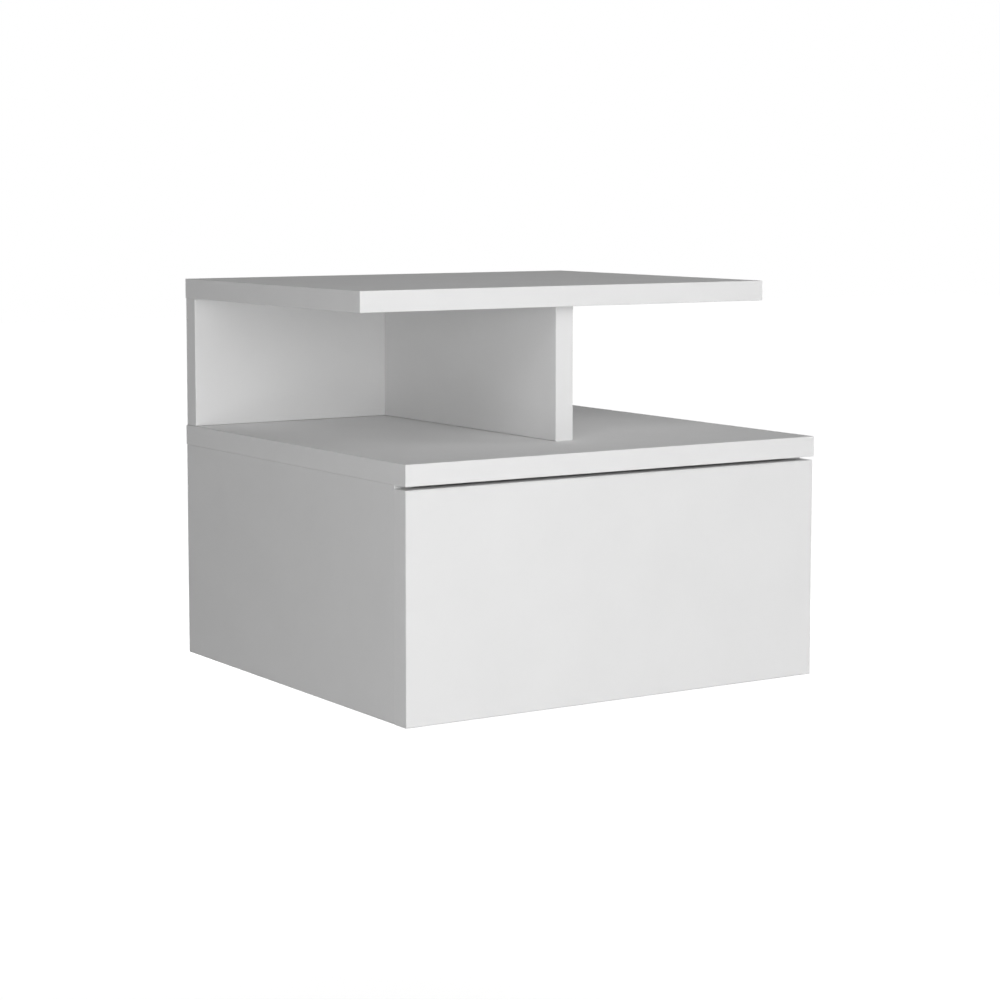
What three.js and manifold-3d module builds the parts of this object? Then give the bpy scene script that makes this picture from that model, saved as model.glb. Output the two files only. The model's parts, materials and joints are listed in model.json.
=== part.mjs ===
// A small nightstand that hangs on a wall: a case with one drawer, and over it an open niche,
// an open bay and a top. Lengths are in millimetres. X runs to the right, Y into the wall and
// Z up. The origin lies on the wall, at the middle of the case's back panel.

import * as THREE from "three";
import { mergeVertices } from "three/addons/utils/BufferGeometryUtils.js";
import Module from "manifold-3d";

// Boards of the case
const WIDTH = 352;
const DEPTH = 330;
const BOARD = 15;
const SIDE_HEIGHT = 163;
const SIDE_INSET = 0.5; // from the shelf's end to the outer face of a side panel
const NICHE_HEIGHT = 98; // clear height between the shelf and the top
const NICHE_WIDTH = 169.5; // from the shelf's left end to the divider
const NICHE_BACK_INSET = 1; // from the shelf's left end to the niche's back panel
const TOP_SETBACK = 60.5; // from the shelf's front edge to the top's
const TOP_LEFT_INSET = 0.5; // from the shelf's left end to the top's
const TOP_RIGHT_INSET = 1.25; // from the shelf's right end to the top's
const DIVIDER_SETBACK = 71.5; // from the shelf's front edge to the divider's

// Drawer
const DRAWER_BOARD = 12;
const DRAWER_BOTTOM = 3;
const DRAWER_RAISE = 28; // finger room under the box, above the case's lower edge
const DRAWER_TOP_CLEARANCE = 20; // room over the box, to lift its rollers in
const DRAWER_REAR_CLEARANCE = 30; // from the box to the case's back panel
const FRONT_TOP_GAP = 2.5; // between the drawer front and the shelf
const FRONT_END_REVEAL = 1.5; // how far the drawer front stops short of the shelf's right end
const FRONT_REST_GAP = 0.25; // between the drawer front and the side panels' edges
const GROOVE_RAISE = 8; // from the box's lower edge to the groove of its bottom
const GROOVE_DEPTH = 5;

// Roller slides, one on each side of the drawer
const SLIDE_SPACE = 12.5; // from a side panel to the drawer box
const SLIDE_SETBACK = 2; // from the side panel's front edge to the rails
const SLIDE_REAR_CLEARANCE = 47.75; // from the rails to the case's back panel
const ROLLER_OVERLAP = 36; // between the axes of a slide's two rollers, with the drawer out
const RAIL_GAUGE = 1.25;
const CABINET_FLANGE = 10; // width of the flanges that the drawer's rollers run between
const CABINET_LIP = 2; // height of the lip that keeps those rollers in
const DRAWER_FLANGE = 10; // width of the flange under the drawer side
const CHANNEL_PLAY = 1; // between a roller and the two flanges round it
const TRACK_CLEARANCE = 1; // between the cabinet rail and the track above it
const TRACK_START = 2; // from the side panel to the track's free edge
const ROLLER_DIAMETER = 16;
const ROLLER_WIDTH = 5.5;
const ROLLER_START = 3; // from the side panel to a roller
const ROLLER_INSET = 12; // from a rail's end to its roller's axis
const ROLLER_CHAMFER = 0.5;
const NOTCH_CLEARANCE = 2; // behind the cabinet's roller, where the upper flange starts
const STOP_HEIGHT = 2.5;
const PIN_TAIL_DIAMETER = 4;
const PIN_COLLAR_DIAMETER = 7;
const PIN_SHANK_DIAMETER = 5;
const PIN_HEAD_DIAMETER = 8;
const PIN_HEAD_THICKNESS = 1;

// Cam joints of the 15 mm boards
const CAM_DIAMETER = 15;
const CAM_SKIN = 2.5; // board left behind a cam
const CAM_REACH = 24; // from the joint to the cam's axis
const BOLT_THREAD_DIAMETER = 6;
const BOLT_THREAD_SKIN = 4; // board left past the thread's end
const BOLT_SHANK_DIAMETER = 7;
const BOLT_NECK_DIAMETER = 4;
const BOLT_NECK_LENGTH = 4;
const BOLT_HEAD_LENGTH = 3;

// Cam joints of the drawer's thinner sides
const DRAWER_CAM_DIAMETER = 12;
const DRAWER_CAM_SKIN = 2.5;
const DRAWER_BOLT_THREAD_DIAMETER = 5;
const DRAWER_BOLT_SHANK_DIAMETER = 5;
const DRAWER_BOLT_NECK_DIAMETER = 3;

// Countersunk screws
const CONFIRMAT_HEAD_DIAMETER = 10;
const CONFIRMAT_SHANK_DIAMETER = 6.5;
const CONFIRMAT_BITE = 35; // length past the first board
const BOX_SCREW_HEAD_DIAMETER = 8;
const BOX_SCREW_SHANK_DIAMETER = 4;
const BOX_SCREW_BITE = 28;
const RAIL_SCREW_HEAD_DIAMETER = 7;
const RAIL_SCREW_SHANK_DIAMETER = 3.5;
const RAIL_SCREW_BITE = 9.5; // length in the board behind the rail

// Places of the fasteners
const SIDE_CAM_INSET = 45; // from a side panel's front and rear edges
const BACK_CAM_RAISE = 45; // from the case's lower edge
const DIVIDER_CAM_INSET = 45; // from the divider's front and rear edges
const DIVIDER_SCREW_INSET = 60;
const BOX_SCREW_INSET = 22; // from the drawer back's upper and lower edges
const RAIL_SCREW_FRONT_INSET = 45;
const RAIL_SCREW_REAR_INSET = 30;
const WALL_HOLE_DIAMETER = 7;
const WALL_HOLE_SPREAD = 210; // between the left and right holes
const WALL_HOLE_RISE = 100; // between the lower and upper holes

// Clearance and cutting
const FIT_GAP = 0.25; // round a fastener, a roller, or a panel in its groove
const OVERRUN = 1; // how far a cut reaches past the face that it opens

// Facets of round parts
const FASTENER_SIDES = 12;
const CAM_SIDES = 16;
const ROLLER_SIDES = 24;

// Directions
const RIGHT = new THREE.Vector3(1, 0, 0);
const LEFT = new THREE.Vector3(-1, 0, 0);
const TO_WALL = new THREE.Vector3(0, 1, 0);
const TO_ROOM = new THREE.Vector3(0, -1, 0);
const UP = new THREE.Vector3(0, 0, 1);
const DOWN = new THREE.Vector3(0, 0, -1);

// Left and right sub-parts are made from one description. side is -1 or 1 times X, and
// inward points from that side towards the middle.
const SIDES = [
  { label: "left", side: -1, inward: RIGHT },
  { label: "right", side: 1, inward: LEFT },
];

// Levels and planes of the assembly
const frontFace = -DEPTH;
const leftEnd = -WIDTH / 2;
const rightEnd = WIDTH / 2;
const caseBottom = -SIDE_HEIGHT / 2;
const shelfUnderside = caseBottom + SIDE_HEIGHT;
const shelfTop = shelfUnderside + BOARD;
const topUnderside = shelfTop + NICHE_HEIGHT;
const caseInner = WIDTH / 2 - SIDE_INSET - BOARD; // from the middle to a side panel's inner face
const sideFront = frontFace + BOARD + FRONT_REST_GAP;
const dividerLeft = leftEnd + NICHE_WIDTH;
const dividerRight = dividerLeft + BOARD;
const dividerFront = frontFace + DIVIDER_SETBACK;

// Levels and planes of the drawer
const frontInner = frontFace + BOARD; // rear face of the drawer front
const boxBottom = caseBottom + DRAWER_RAISE;
const boxTop = shelfUnderside - DRAWER_TOP_CLEARANCE;
const boxRear = -BOARD - DRAWER_REAR_CLEARANCE;
const boxOuter = caseInner - SLIDE_SPACE;
const boxInner = boxOuter - DRAWER_BOARD;
const grooveLow = boxBottom + GROOVE_RAISE;
const grooveHigh = grooveLow + DRAWER_BOTTOM + 2 * FIT_GAP;

// Levels of the slides, measured up from the rails' lowest face
const railBase = boxBottom - RAIL_GAUGE;
const rollerRadius = ROLLER_DIAMETER / 2;
const channelHeight = RAIL_GAUGE + ROLLER_DIAMETER + CHANNEL_PLAY + RAIL_GAUGE;
const trackHeight = channelHeight + TRACK_CLEARANCE;
const cabinetRollerHeight = trackHeight - FIT_GAP - rollerRadius;
const drawerRollerHeight = RAIL_GAUGE + FIT_GAP + rollerRadius;
const railFront = sideFront + SLIDE_SETBACK;
const railRear = -BOARD - SLIDE_REAR_CLEARANCE;
const cabinetRollerY = railFront + ROLLER_INSET;
const drawerRollerY = railRear - ROLLER_INSET;

const wasm = await Module();
wasm.setup();

// A closed geometry as a solid that can be joined and cut.
function solidOf(geometry) {
  const bare = geometry.clone();
  bare.deleteAttribute("normal");
  bare.deleteAttribute("uv");
  const merged = mergeVertices(bare);
  const mesh = new wasm.Mesh({
    numProp: 3,
    vertProperties: merged.getAttribute("position").array,
    triVerts: new Uint32Array(merged.index.array),
  });
  return new wasm.Manifold(mesh);
}

// The solid as a flat-shaded geometry.
function geometryOf(solid) {
  const { vertProperties, triVerts } = solid.getMesh();
  const shared = new THREE.BufferGeometry();
  shared.setAttribute("position", new THREE.BufferAttribute(vertProperties, 3));
  shared.setIndex(new THREE.BufferAttribute(triVerts, 1));
  const geometry = shared.toNonIndexed();
  geometry.computeVertexNormals();
  return geometry;
}

function middle([low, high]) {
  return (low + high) / 2;
}

function middleOf({ x, y, z }) {
  return new THREE.Vector3(middle(x), middle(y), middle(z));
}

// The same span on the left or the right of the assembly. near and far are distances
// from the middle.
function mirrored(side, near, far) {
  return side < 0 ? [-far, -near] : [near, far];
}

// A box that fills a span of each axis.
function boxOf(span) {
  const { x, y, z } = span;
  const box = new THREE.BoxGeometry(x[1] - x[0], y[1] - y[0], z[1] - z[0]);
  return box.translate(...middleOf(span));
}

// A profile of [x, z] points, extruded over a span of Y.
function extruded(outline, [start, end]) {
  const shape = new THREE.Shape(outline.map(([x, z]) => new THREE.Vector2(x, z)));
  const bar = new THREE.ExtrudeGeometry(shape, { depth: end - start, bevelEnabled: false });
  return bar.rotateX(Math.PI / 2).translate(0, end, 0);
}

// A round part about its own Y axis. The outline is a list of [radius, distance] points.
function turned(outline, sides = FASTENER_SIDES) {
  const points = outline.map(([radius, distance]) => new THREE.Vector2(radius, distance));
  return new THREE.LatheGeometry(points, sides);
}

function rod(radius, start, end, sides) {
  const outline = [
    [0, start],
    [radius, start],
    [radius, end],
    [0, end],
  ];
  return turned(outline, sides);
}

// A round part moved so that its Y axis leaves a point in a direction.
function aimed(geometry, point, direction) {
  const turn = new THREE.Quaternion().setFromUnitVectors(TO_WALL, direction);
  return geometry.applyQuaternion(turn).translate(...point);
}

// Finishes
function finish(color, roughness, metalness) {
  return () => new THREE.MeshStandardMaterial({ color, roughness, metalness });
}
const whiteBoard = finish("#ececea", 0.5, 0);
const hardboard = finish("#e4e2dc", 0.6, 0);
const epoxySteel = finish("#e8e8e6", 0.35, 0);
const zincSteel = finish("#b4b6b8", 0.35, 0.9);
const nylon = finish("#dcdbd4", 0.45, 0);

const nightstand = new THREE.Group();
const caseGroup = new THREE.Group();
const drawerGroup = new THREE.Group();
nightstand.add(caseGroup, drawerGroup);

// The holes that the fasteners need, kept by the name of the piece that they cut.
const cuts = new Map();

function cutFrom(name, geometry) {
  if (!cuts.has(name)) {
    cuts.set(name, []);
  }
  cuts.get(name).push(geometry);
}

// Adds a piece that was shaped in its place, less its holes. anchor becomes its own origin.
function addShaped(group, name, geometry, material, anchor) {
  let solid = solidOf(geometry);
  for (const cut of cuts.get(name) ?? []) {
    solid = solid.subtract(solidOf(cut));
  }
  const shape = geometryOf(solid).translate(-anchor.x, -anchor.y, -anchor.z);
  const mesh = new THREE.Mesh(shape, material());
  mesh.name = name;
  mesh.position.copy(anchor);
  group.add(mesh);
}

function addBoard(group, name, span, material) {
  addShaped(group, name, boxOf(span), material, middleOf(span));
}

// Adds a round piece whose Y axis leaves a point in a direction.
function addTurned(group, name, geometry, material, point, direction) {
  const mesh = new THREE.Mesh(geometry, material());
  mesh.name = name;
  mesh.position.copy(point);
  mesh.quaternion.setFromUnitVectors(TO_WALL, direction);
  group.add(mesh);
}

// A cam joint. The bolt screws into the mate, and the cam in the host draws its head in.
// seam is the bolt's place on the joint, into points from there into the host, and face
// points out of the host's face that shows the cam.
function addCamJoint(group, label, sizes, host, mate, seam, into, face) {
  const head = sizes.reach + sizes.headLength / 2;
  const neck = sizes.reach - sizes.headLength / 2;
  const shankEnd = neck - sizes.neckLength;
  const bore = (radius, start, end) => aimed(rod(radius, start, end), seam, into);
  cutFrom(mate, bore(sizes.thread + FIT_GAP, -sizes.threadLength - FIT_GAP, OVERRUN));
  cutFrom(host, bore(sizes.shank + FIT_GAP, -OVERRUN, head + FIT_GAP));

  const camFace = seam.clone().addScaledVector(into, sizes.reach);
  camFace.addScaledVector(face, sizes.hostBoard / 2);
  const back = face.clone().negate();
  const pocket = rod(sizes.radius + FIT_GAP, -OVERRUN, sizes.depth + FIT_GAP, CAM_SIDES);
  cutFrom(host, aimed(pocket, camFace, back));

  const camName = `${label}_cam`;
  const mouth = sizes.reach - sizes.radius - OVERRUN;
  cutFrom(camName, bore(sizes.shank + FIT_GAP, mouth, head + FIT_GAP));
  const cam = aimed(rod(sizes.radius, 0, sizes.depth, CAM_SIDES), camFace, back);
  addShaped(group, camName, cam, zincSteel, camFace);

  const boltOutline = [
    [0, -sizes.threadLength],
    [sizes.thread, -sizes.threadLength],
    [sizes.thread, 0],
    [sizes.shank, 0],
    [sizes.shank, shankEnd],
    [sizes.neck, shankEnd],
    [sizes.neck, neck],
    [sizes.shank, neck],
    [sizes.shank, head],
    [0, head],
  ];
  addTurned(group, `${label}_cam_bolt`, turned(boltOutline), zincSteel, seam, into);
}

const caseCam = {
  hostBoard: BOARD,
  radius: CAM_DIAMETER / 2,
  depth: BOARD - CAM_SKIN,
  reach: CAM_REACH,
  thread: BOLT_THREAD_DIAMETER / 2,
  threadLength: BOARD - BOLT_THREAD_SKIN,
  shank: BOLT_SHANK_DIAMETER / 2,
  neck: BOLT_NECK_DIAMETER / 2,
  neckLength: BOLT_NECK_LENGTH,
  headLength: BOLT_HEAD_LENGTH,
};

const drawerCam = {
  ...caseCam,
  hostBoard: DRAWER_BOARD,
  radius: DRAWER_CAM_DIAMETER / 2,
  depth: DRAWER_BOARD - DRAWER_CAM_SKIN,
  thread: DRAWER_BOLT_THREAD_DIAMETER / 2,
  shank: DRAWER_BOLT_SHANK_DIAMETER / 2,
  neck: DRAWER_BOLT_NECK_DIAMETER / 2,
};

// A countersunk screw whose head lies flush at a point, driven into the named pieces.
function addScrew(group, name, sizes, pieces, point, into) {
  const cone = sizes.head - sizes.shank;
  const outline = [
    [0, 0],
    [sizes.head, 0],
    [sizes.shank, cone],
    [sizes.shank, sizes.length - sizes.shank],
    [0, sizes.length],
  ];
  const hole = [
    [0, -OVERRUN],
    [sizes.head + FIT_GAP, -OVERRUN],
    [sizes.head + FIT_GAP, 0],
    [sizes.shank + FIT_GAP, cone],
    [sizes.shank + FIT_GAP, sizes.length + FIT_GAP],
    [0, sizes.length + FIT_GAP],
  ];
  for (const piece of pieces) {
    cutFrom(piece, aimed(turned(hole), point, into));
  }
  addTurned(group, name, turned(outline), zincSteel, point, into);
}

const confirmat = {
  head: CONFIRMAT_HEAD_DIAMETER / 2,
  shank: CONFIRMAT_SHANK_DIAMETER / 2,
  length: BOARD + CONFIRMAT_BITE,
};

const boxScrew = {
  head: BOX_SCREW_HEAD_DIAMETER / 2,
  shank: BOX_SCREW_SHANK_DIAMETER / 2,
  length: DRAWER_BOARD + BOX_SCREW_BITE,
};

const railScrew = {
  head: RAIL_SCREW_HEAD_DIAMETER / 2,
  shank: RAIL_SCREW_SHANK_DIAMETER / 2,
  length: RAIL_GAUGE + RAIL_SCREW_BITE,
};

// Spans of the boards
const shelf = { x: [leftEnd, rightEnd], y: [frontFace, 0], z: [shelfUnderside, shelfTop] };
const top = {
  x: [leftEnd + TOP_LEFT_INSET, rightEnd - TOP_RIGHT_INSET],
  y: [frontFace + TOP_SETBACK, 0],
  z: [topUnderside, topUnderside + BOARD],
};
const caseBack = { x: [-caseInner, caseInner], y: [-BOARD, 0], z: [caseBottom, shelfUnderside] };
const nicheBack = {
  x: [leftEnd + NICHE_BACK_INSET, dividerRight],
  y: [-BOARD, 0],
  z: [shelfTop, topUnderside],
};
const divider = {
  x: [dividerLeft, dividerRight],
  y: [dividerFront, -BOARD],
  z: [shelfTop, topUnderside],
};
const drawerFront = {
  x: [leftEnd, rightEnd - FRONT_END_REVEAL],
  y: [frontFace, frontInner],
  z: [caseBottom, shelfUnderside - FRONT_TOP_GAP],
};
const drawerBack = {
  x: [-boxInner, boxInner],
  y: [boxRear - DRAWER_BOARD, boxRear],
  z: [grooveHigh, boxTop],
};
const drawerBottom = {
  x: [-boxInner - GROOVE_DEPTH + FIT_GAP, boxInner + GROOVE_DEPTH - FIT_GAP],
  y: [frontInner - GROOVE_DEPTH + FIT_GAP, boxRear],
  z: [grooveLow + FIT_GAP, grooveHigh - FIT_GAP],
};

// Joints between the boards of the case
function joinCase() {
  for (const { label, side, inward } of SIDES) {
    const sidePanel = `side_panel_${label}`;
    const sideMiddle = side * (caseInner + BOARD / 2);
    const places = [
      ["front", sideFront + SIDE_CAM_INSET],
      ["rear", -SIDE_CAM_INSET],
    ];
    for (const [end, y] of places) {
      const seam = new THREE.Vector3(sideMiddle, y, shelfUnderside);
      const name = `side_${label}_${end}`;
      addCamJoint(caseGroup, name, caseCam, sidePanel, "shelf_panel", seam, DOWN, inward);
    }
    const backMiddle = middle(caseBack.y);
    const seam = new THREE.Vector3(side * caseInner, backMiddle, caseBottom + BACK_CAM_RAISE);
    const name = `back_${label}`;
    addCamJoint(caseGroup, name, caseCam, "case_back_panel", sidePanel, seam, inward, TO_ROOM);
  }
}

// Joints of the niche: its back panel and the divider stand on the shelf and carry the top
function joinNiche() {
  const dividerMiddle = middle(divider.x);
  const nicheMiddle = middle([nicheBack.x[0], dividerLeft]);
  const ends = [
    ["front", dividerFront, 1],
    ["rear", -BOARD, -1],
  ];
  for (const [end, edge, toMiddle] of ends) {
    const camY = edge + toMiddle * DIVIDER_CAM_INSET;
    const seam = new THREE.Vector3(dividerMiddle, camY, topUnderside);
    const name = `divider_${end}`;
    addCamJoint(caseGroup, name, caseCam, "divider_panel", "top_panel", seam, DOWN, RIGHT);
    const screwY = edge + toMiddle * DIVIDER_SCREW_INSET;
    const below = new THREE.Vector3(dividerMiddle, screwY, shelfUnderside);
    const boards = ["shelf_panel", "divider_panel"];
    addScrew(caseGroup, `divider_${end}_screw`, confirmat, boards, below, UP);
  }
  const backMiddle = middle(nicheBack.y);
  const seam = new THREE.Vector3(nicheMiddle, backMiddle, topUnderside);
  const backName = "niche_back_panel";
  addCamJoint(caseGroup, "niche_back", caseCam, backName, "top_panel", seam, DOWN, TO_WALL);
  const below = new THREE.Vector3(nicheMiddle, backMiddle, shelfUnderside);
  addScrew(caseGroup, "niche_back_screw", confirmat, ["shelf_panel", backName], below, UP);
  const behind = new THREE.Vector3(dividerMiddle, 0, middle(divider.z));
  const boards = [backName, "divider_panel"];
  addScrew(caseGroup, "divider_end_screw", confirmat, boards, behind, TO_ROOM);
}

// Holes for the four wall screws, which are driven from inside the case
function drillWallHoles() {
  const places = [-1, 1].flatMap((x) => [-1, 1].map((z) => [x, z]));
  for (const [toSide, toTop] of places) {
    const x = (toSide * WALL_HOLE_SPREAD) / 2;
    const z = (toTop * WALL_HOLE_RISE) / 2;
    const hole = rod(WALL_HOLE_DIAMETER / 2, -OVERRUN, BOARD + OVERRUN);
    cutFrom("case_back_panel", aimed(hole, new THREE.Vector3(x, 0, z), TO_ROOM));
  }
}

function addCaseBoards() {
  addBoard(caseGroup, "shelf_panel", shelf, whiteBoard);
  addBoard(caseGroup, "top_panel", top, whiteBoard);
  addBoard(caseGroup, "case_back_panel", caseBack, whiteBoard);
  addBoard(caseGroup, "niche_back_panel", nicheBack, whiteBoard);
  addBoard(caseGroup, "divider_panel", divider, whiteBoard);
  for (const { label, side } of SIDES) {
    const span = {
      x: mirrored(side, caseInner, caseInner + BOARD),
      y: [sideFront, 0],
      z: [caseBottom, shelfUnderside],
    };
    addBoard(caseGroup, `side_panel_${label}`, span, whiteBoard);
  }
}

// The groove that holds the drawer's bottom runs the length of each side and stops inside
// the front.
function cutGrooves() {
  const z = [grooveLow, grooveHigh];
  for (const { label, side } of SIDES) {
    const x = mirrored(side, boxInner - OVERRUN, boxInner + GROOVE_DEPTH);
    const y = [frontInner - OVERRUN, boxRear + OVERRUN];
    cutFrom(`drawer_side_${label}`, boxOf({ x, y, z }));
  }
  const x = [-boxInner - GROOVE_DEPTH, boxInner + GROOVE_DEPTH];
  const y = [frontInner - GROOVE_DEPTH, frontInner + OVERRUN];
  cutFrom("drawer_front", boxOf({ x, y, z }));
}

function joinDrawer() {
  for (const { label, side, inward } of SIDES) {
    const sideName = `drawer_side_${label}`;
    const sideMiddle = side * (boxInner + DRAWER_BOARD / 2);
    const seam = new THREE.Vector3(sideMiddle, frontInner, middle([boxBottom, boxTop]));
    const camName = `drawer_${label}`;
    addCamJoint(drawerGroup, camName, drawerCam, sideName, "drawer_front", seam, TO_WALL, inward);
    const heights = [
      ["lower", drawerBack.z[0] + BOX_SCREW_INSET],
      ["upper", drawerBack.z[1] - BOX_SCREW_INSET],
    ];
    for (const [height, z] of heights) {
      const point = new THREE.Vector3(side * boxOuter, middle(drawerBack.y), z);
      const name = `drawer_back_screw_${label}_${height}`;
      addScrew(drawerGroup, name, boxScrew, [sideName, "drawer_back"], point, inward);
    }
  }
}

function addDrawerBoards() {
  addBoard(drawerGroup, "drawer_front", drawerFront, whiteBoard);
  addBoard(drawerGroup, "drawer_back", drawerBack, whiteBoard);
  addBoard(drawerGroup, "drawer_bottom", drawerBottom, hardboard);
  for (const { label, side } of SIDES) {
    const span = {
      x: mirrored(side, boxInner, boxOuter),
      y: [frontInner, boxRear],
      z: [boxBottom, boxTop],
    };
    addBoard(drawerGroup, `drawer_side_${label}`, span, whiteBoard);
  }
}

// A point beside the drawer, given by its distance from the side panel and its height over
// the rails' lowest face.
function slidePoint(side, offset, y, height) {
  return new THREE.Vector3(side * (caseInner - offset), y, railBase + height);
}

// A rail of folded sheet, from an outline of [offset, height] points.
function railOf(side, outline) {
  const points = outline.map(([offset, height]) => {
    const { x, z } = slidePoint(side, offset, 0, height);
    return [x, z];
  });
  return extruded(points, [railFront, railRear]);
}

// A box beside the drawer. near and far are distances from the side panel.
function slideBox(side, near, far, y, low, high) {
  const x = mirrored(side, caseInner - far, caseInner - near);
  return boxOf({ x, y, z: [railBase + low, railBase + high] });
}

// The channel on the side panel. Its upper flange starts behind the cabinet's roller. A tab in
// its floor stops the drawer's roller behind that one, so the travel is 190 mm at these sizes.
function cabinetRail(side) {
  const inner = CABINET_FLANGE - RAIL_GAUGE;
  const lipTop = RAIL_GAUGE + CABINET_LIP;
  const roof = channelHeight - RAIL_GAUGE;
  const channel = railOf(side, [
    [0, 0],
    [CABINET_FLANGE, 0],
    [CABINET_FLANGE, lipTop],
    [inner, lipTop],
    [inner, RAIL_GAUGE],
    [RAIL_GAUGE, RAIL_GAUGE],
    [RAIL_GAUGE, roof],
    [CABINET_FLANGE, roof],
    [CABINET_FLANGE, channelHeight],
    [0, channelHeight],
  ]);
  const notchEnd = cabinetRollerY + rollerRadius + NOTCH_CLEARANCE;
  const notchY = [railFront - OVERRUN, notchEnd];
  const far = CABINET_FLANGE + OVERRUN;
  const notch = slideBox(side, RAIL_GAUGE, far, notchY, roof - OVERRUN, channelHeight + OVERRUN);

  const axisOverStop = rollerRadius + FIT_GAP - STOP_HEIGHT;
  const stopReach = Math.sqrt(rollerRadius ** 2 - axisOverStop ** 2);
  const stopFace = cabinetRollerY + ROLLER_OVERLAP - stopReach - FIT_GAP;
  const stopY = [stopFace - RAIL_GAUGE, stopFace];
  const stopEnd = ROLLER_START + ROLLER_WIDTH;
  const stop = slideBox(side, ROLLER_START, stopEnd, stopY, 0, RAIL_GAUGE + STOP_HEIGHT);
  return geometryOf(solidOf(channel).subtract(solidOf(notch)).add(solidOf(stop)));
}

// The rail on the drawer: a flange under the box, a web beside it, and the track that runs
// on the cabinet's roller.
function drawerRail(side) {
  const web = SLIDE_SPACE - RAIL_GAUGE;
  const flangeEnd = SLIDE_SPACE + DRAWER_FLANGE;
  return railOf(side, [
    [web, 0],
    [flangeEnd, 0],
    [flangeEnd, RAIL_GAUGE],
    [SLIDE_SPACE, RAIL_GAUGE],
    [SLIDE_SPACE, trackHeight + RAIL_GAUGE],
    [TRACK_START, trackHeight + RAIL_GAUGE],
    [TRACK_START, trackHeight],
    [web, trackHeight],
  ]);
}

function rollerOutline() {
  const bore = PIN_SHANK_DIAMETER / 2 + FIT_GAP;
  const rim = rollerRadius - ROLLER_CHAMFER;
  return [
    [bore, 0],
    [rim, 0],
    [rollerRadius, ROLLER_CHAMFER],
    [rollerRadius, ROLLER_WIDTH - ROLLER_CHAMFER],
    [rim, ROLLER_WIDTH],
    [bore, ROLLER_WIDTH],
    [bore, 0],
  ];
}

// A riveted pin, from its tail in the rail's web to its head past the roller. start is the
// distance from the tail's end to the roller.
function pinOutline(start) {
  const head = start + ROLLER_WIDTH + FIT_GAP;
  return [
    [0, 0],
    [PIN_TAIL_DIAMETER / 2, 0],
    [PIN_TAIL_DIAMETER / 2, RAIL_GAUGE],
    [PIN_COLLAR_DIAMETER / 2, RAIL_GAUGE],
    [PIN_COLLAR_DIAMETER / 2, start - FIT_GAP],
    [PIN_SHANK_DIAMETER / 2, start - FIT_GAP],
    [PIN_SHANK_DIAMETER / 2, head],
    [PIN_HEAD_DIAMETER / 2, head],
    [PIN_HEAD_DIAMETER / 2, head + PIN_HEAD_THICKNESS],
    [0, head + PIN_HEAD_THICKNESS],
  ];
}

// Adds a roller and the pin that it turns on. offset is the place of the pin's tail end, and
// out points along the pin.
function addRoller(group, owner, label, rail, side, offset, out, start, y, height) {
  const tail = slidePoint(side, offset, y, height);
  const hole = rod(PIN_TAIL_DIAMETER / 2 + FIT_GAP, -OVERRUN, RAIL_GAUGE + OVERRUN);
  cutFrom(rail, aimed(hole, tail, out));
  addTurned(group, `${owner}_roller_pin_${label}`, turned(pinOutline(start)), zincSteel, tail, out);
  const face = tail.clone().addScaledVector(out, start);
  const roller = turned(rollerOutline(), ROLLER_SIDES);
  addTurned(group, `${owner}_roller_${label}`, roller, nylon, face, out);
}

function addSlide({ label, side, inward }) {
  const outward = inward.clone().negate();
  const cabinetName = `cabinet_rail_${label}`;
  const drawerName = `drawer_rail_${label}`;
  const drawerStart = SLIDE_SPACE - ROLLER_START - ROLLER_WIDTH;
  addRoller(
    caseGroup, "cabinet", label, cabinetName, side,
    0, inward, ROLLER_START, cabinetRollerY, cabinetRollerHeight,
  );
  addRoller(
    drawerGroup, "drawer", label, drawerName, side,
    SLIDE_SPACE, outward, drawerStart, drawerRollerY, drawerRollerHeight,
  );

  const cabinetScrews = [
    ["front", railFront + RAIL_SCREW_FRONT_INSET],
    ["rear", railRear - RAIL_SCREW_REAR_INSET],
  ];
  for (const [end, y] of cabinetScrews) {
    const point = slidePoint(side, RAIL_GAUGE, y, channelHeight / 2);
    const pieces = [cabinetName, `side_panel_${label}`];
    addScrew(caseGroup, `${cabinetName}_screw_${end}`, railScrew, pieces, point, outward);
  }
  const overGroove = middle([grooveHigh - railBase, trackHeight]);
  const screwY = middle([railFront, railRear]);
  const point = slidePoint(side, SLIDE_SPACE - RAIL_GAUGE, screwY, overGroove);
  const pieces = [drawerName, `drawer_side_${label}`];
  addScrew(drawerGroup, `${drawerName}_screw`, railScrew, pieces, point, inward);

  const cabinetAnchor = slidePoint(side, 0, railFront, 0);
  addShaped(caseGroup, cabinetName, cabinetRail(side), epoxySteel, cabinetAnchor);
  const drawerAnchor = slidePoint(side, SLIDE_SPACE, railFront, 0);
  addShaped(drawerGroup, drawerName, drawerRail(side), epoxySteel, drawerAnchor);
}

// The fasteners come first, because the boards take their holes from them.
joinCase();
joinNiche();
drillWallHoles();
joinDrawer();
cutGrooves();
SIDES.forEach(addSlide);
addCaseBoards();
addDrawerBoards();

export default nightstand;
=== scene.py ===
import json
import math

import bmesh
import bpy
from mathutils import Matrix, Vector


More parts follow.
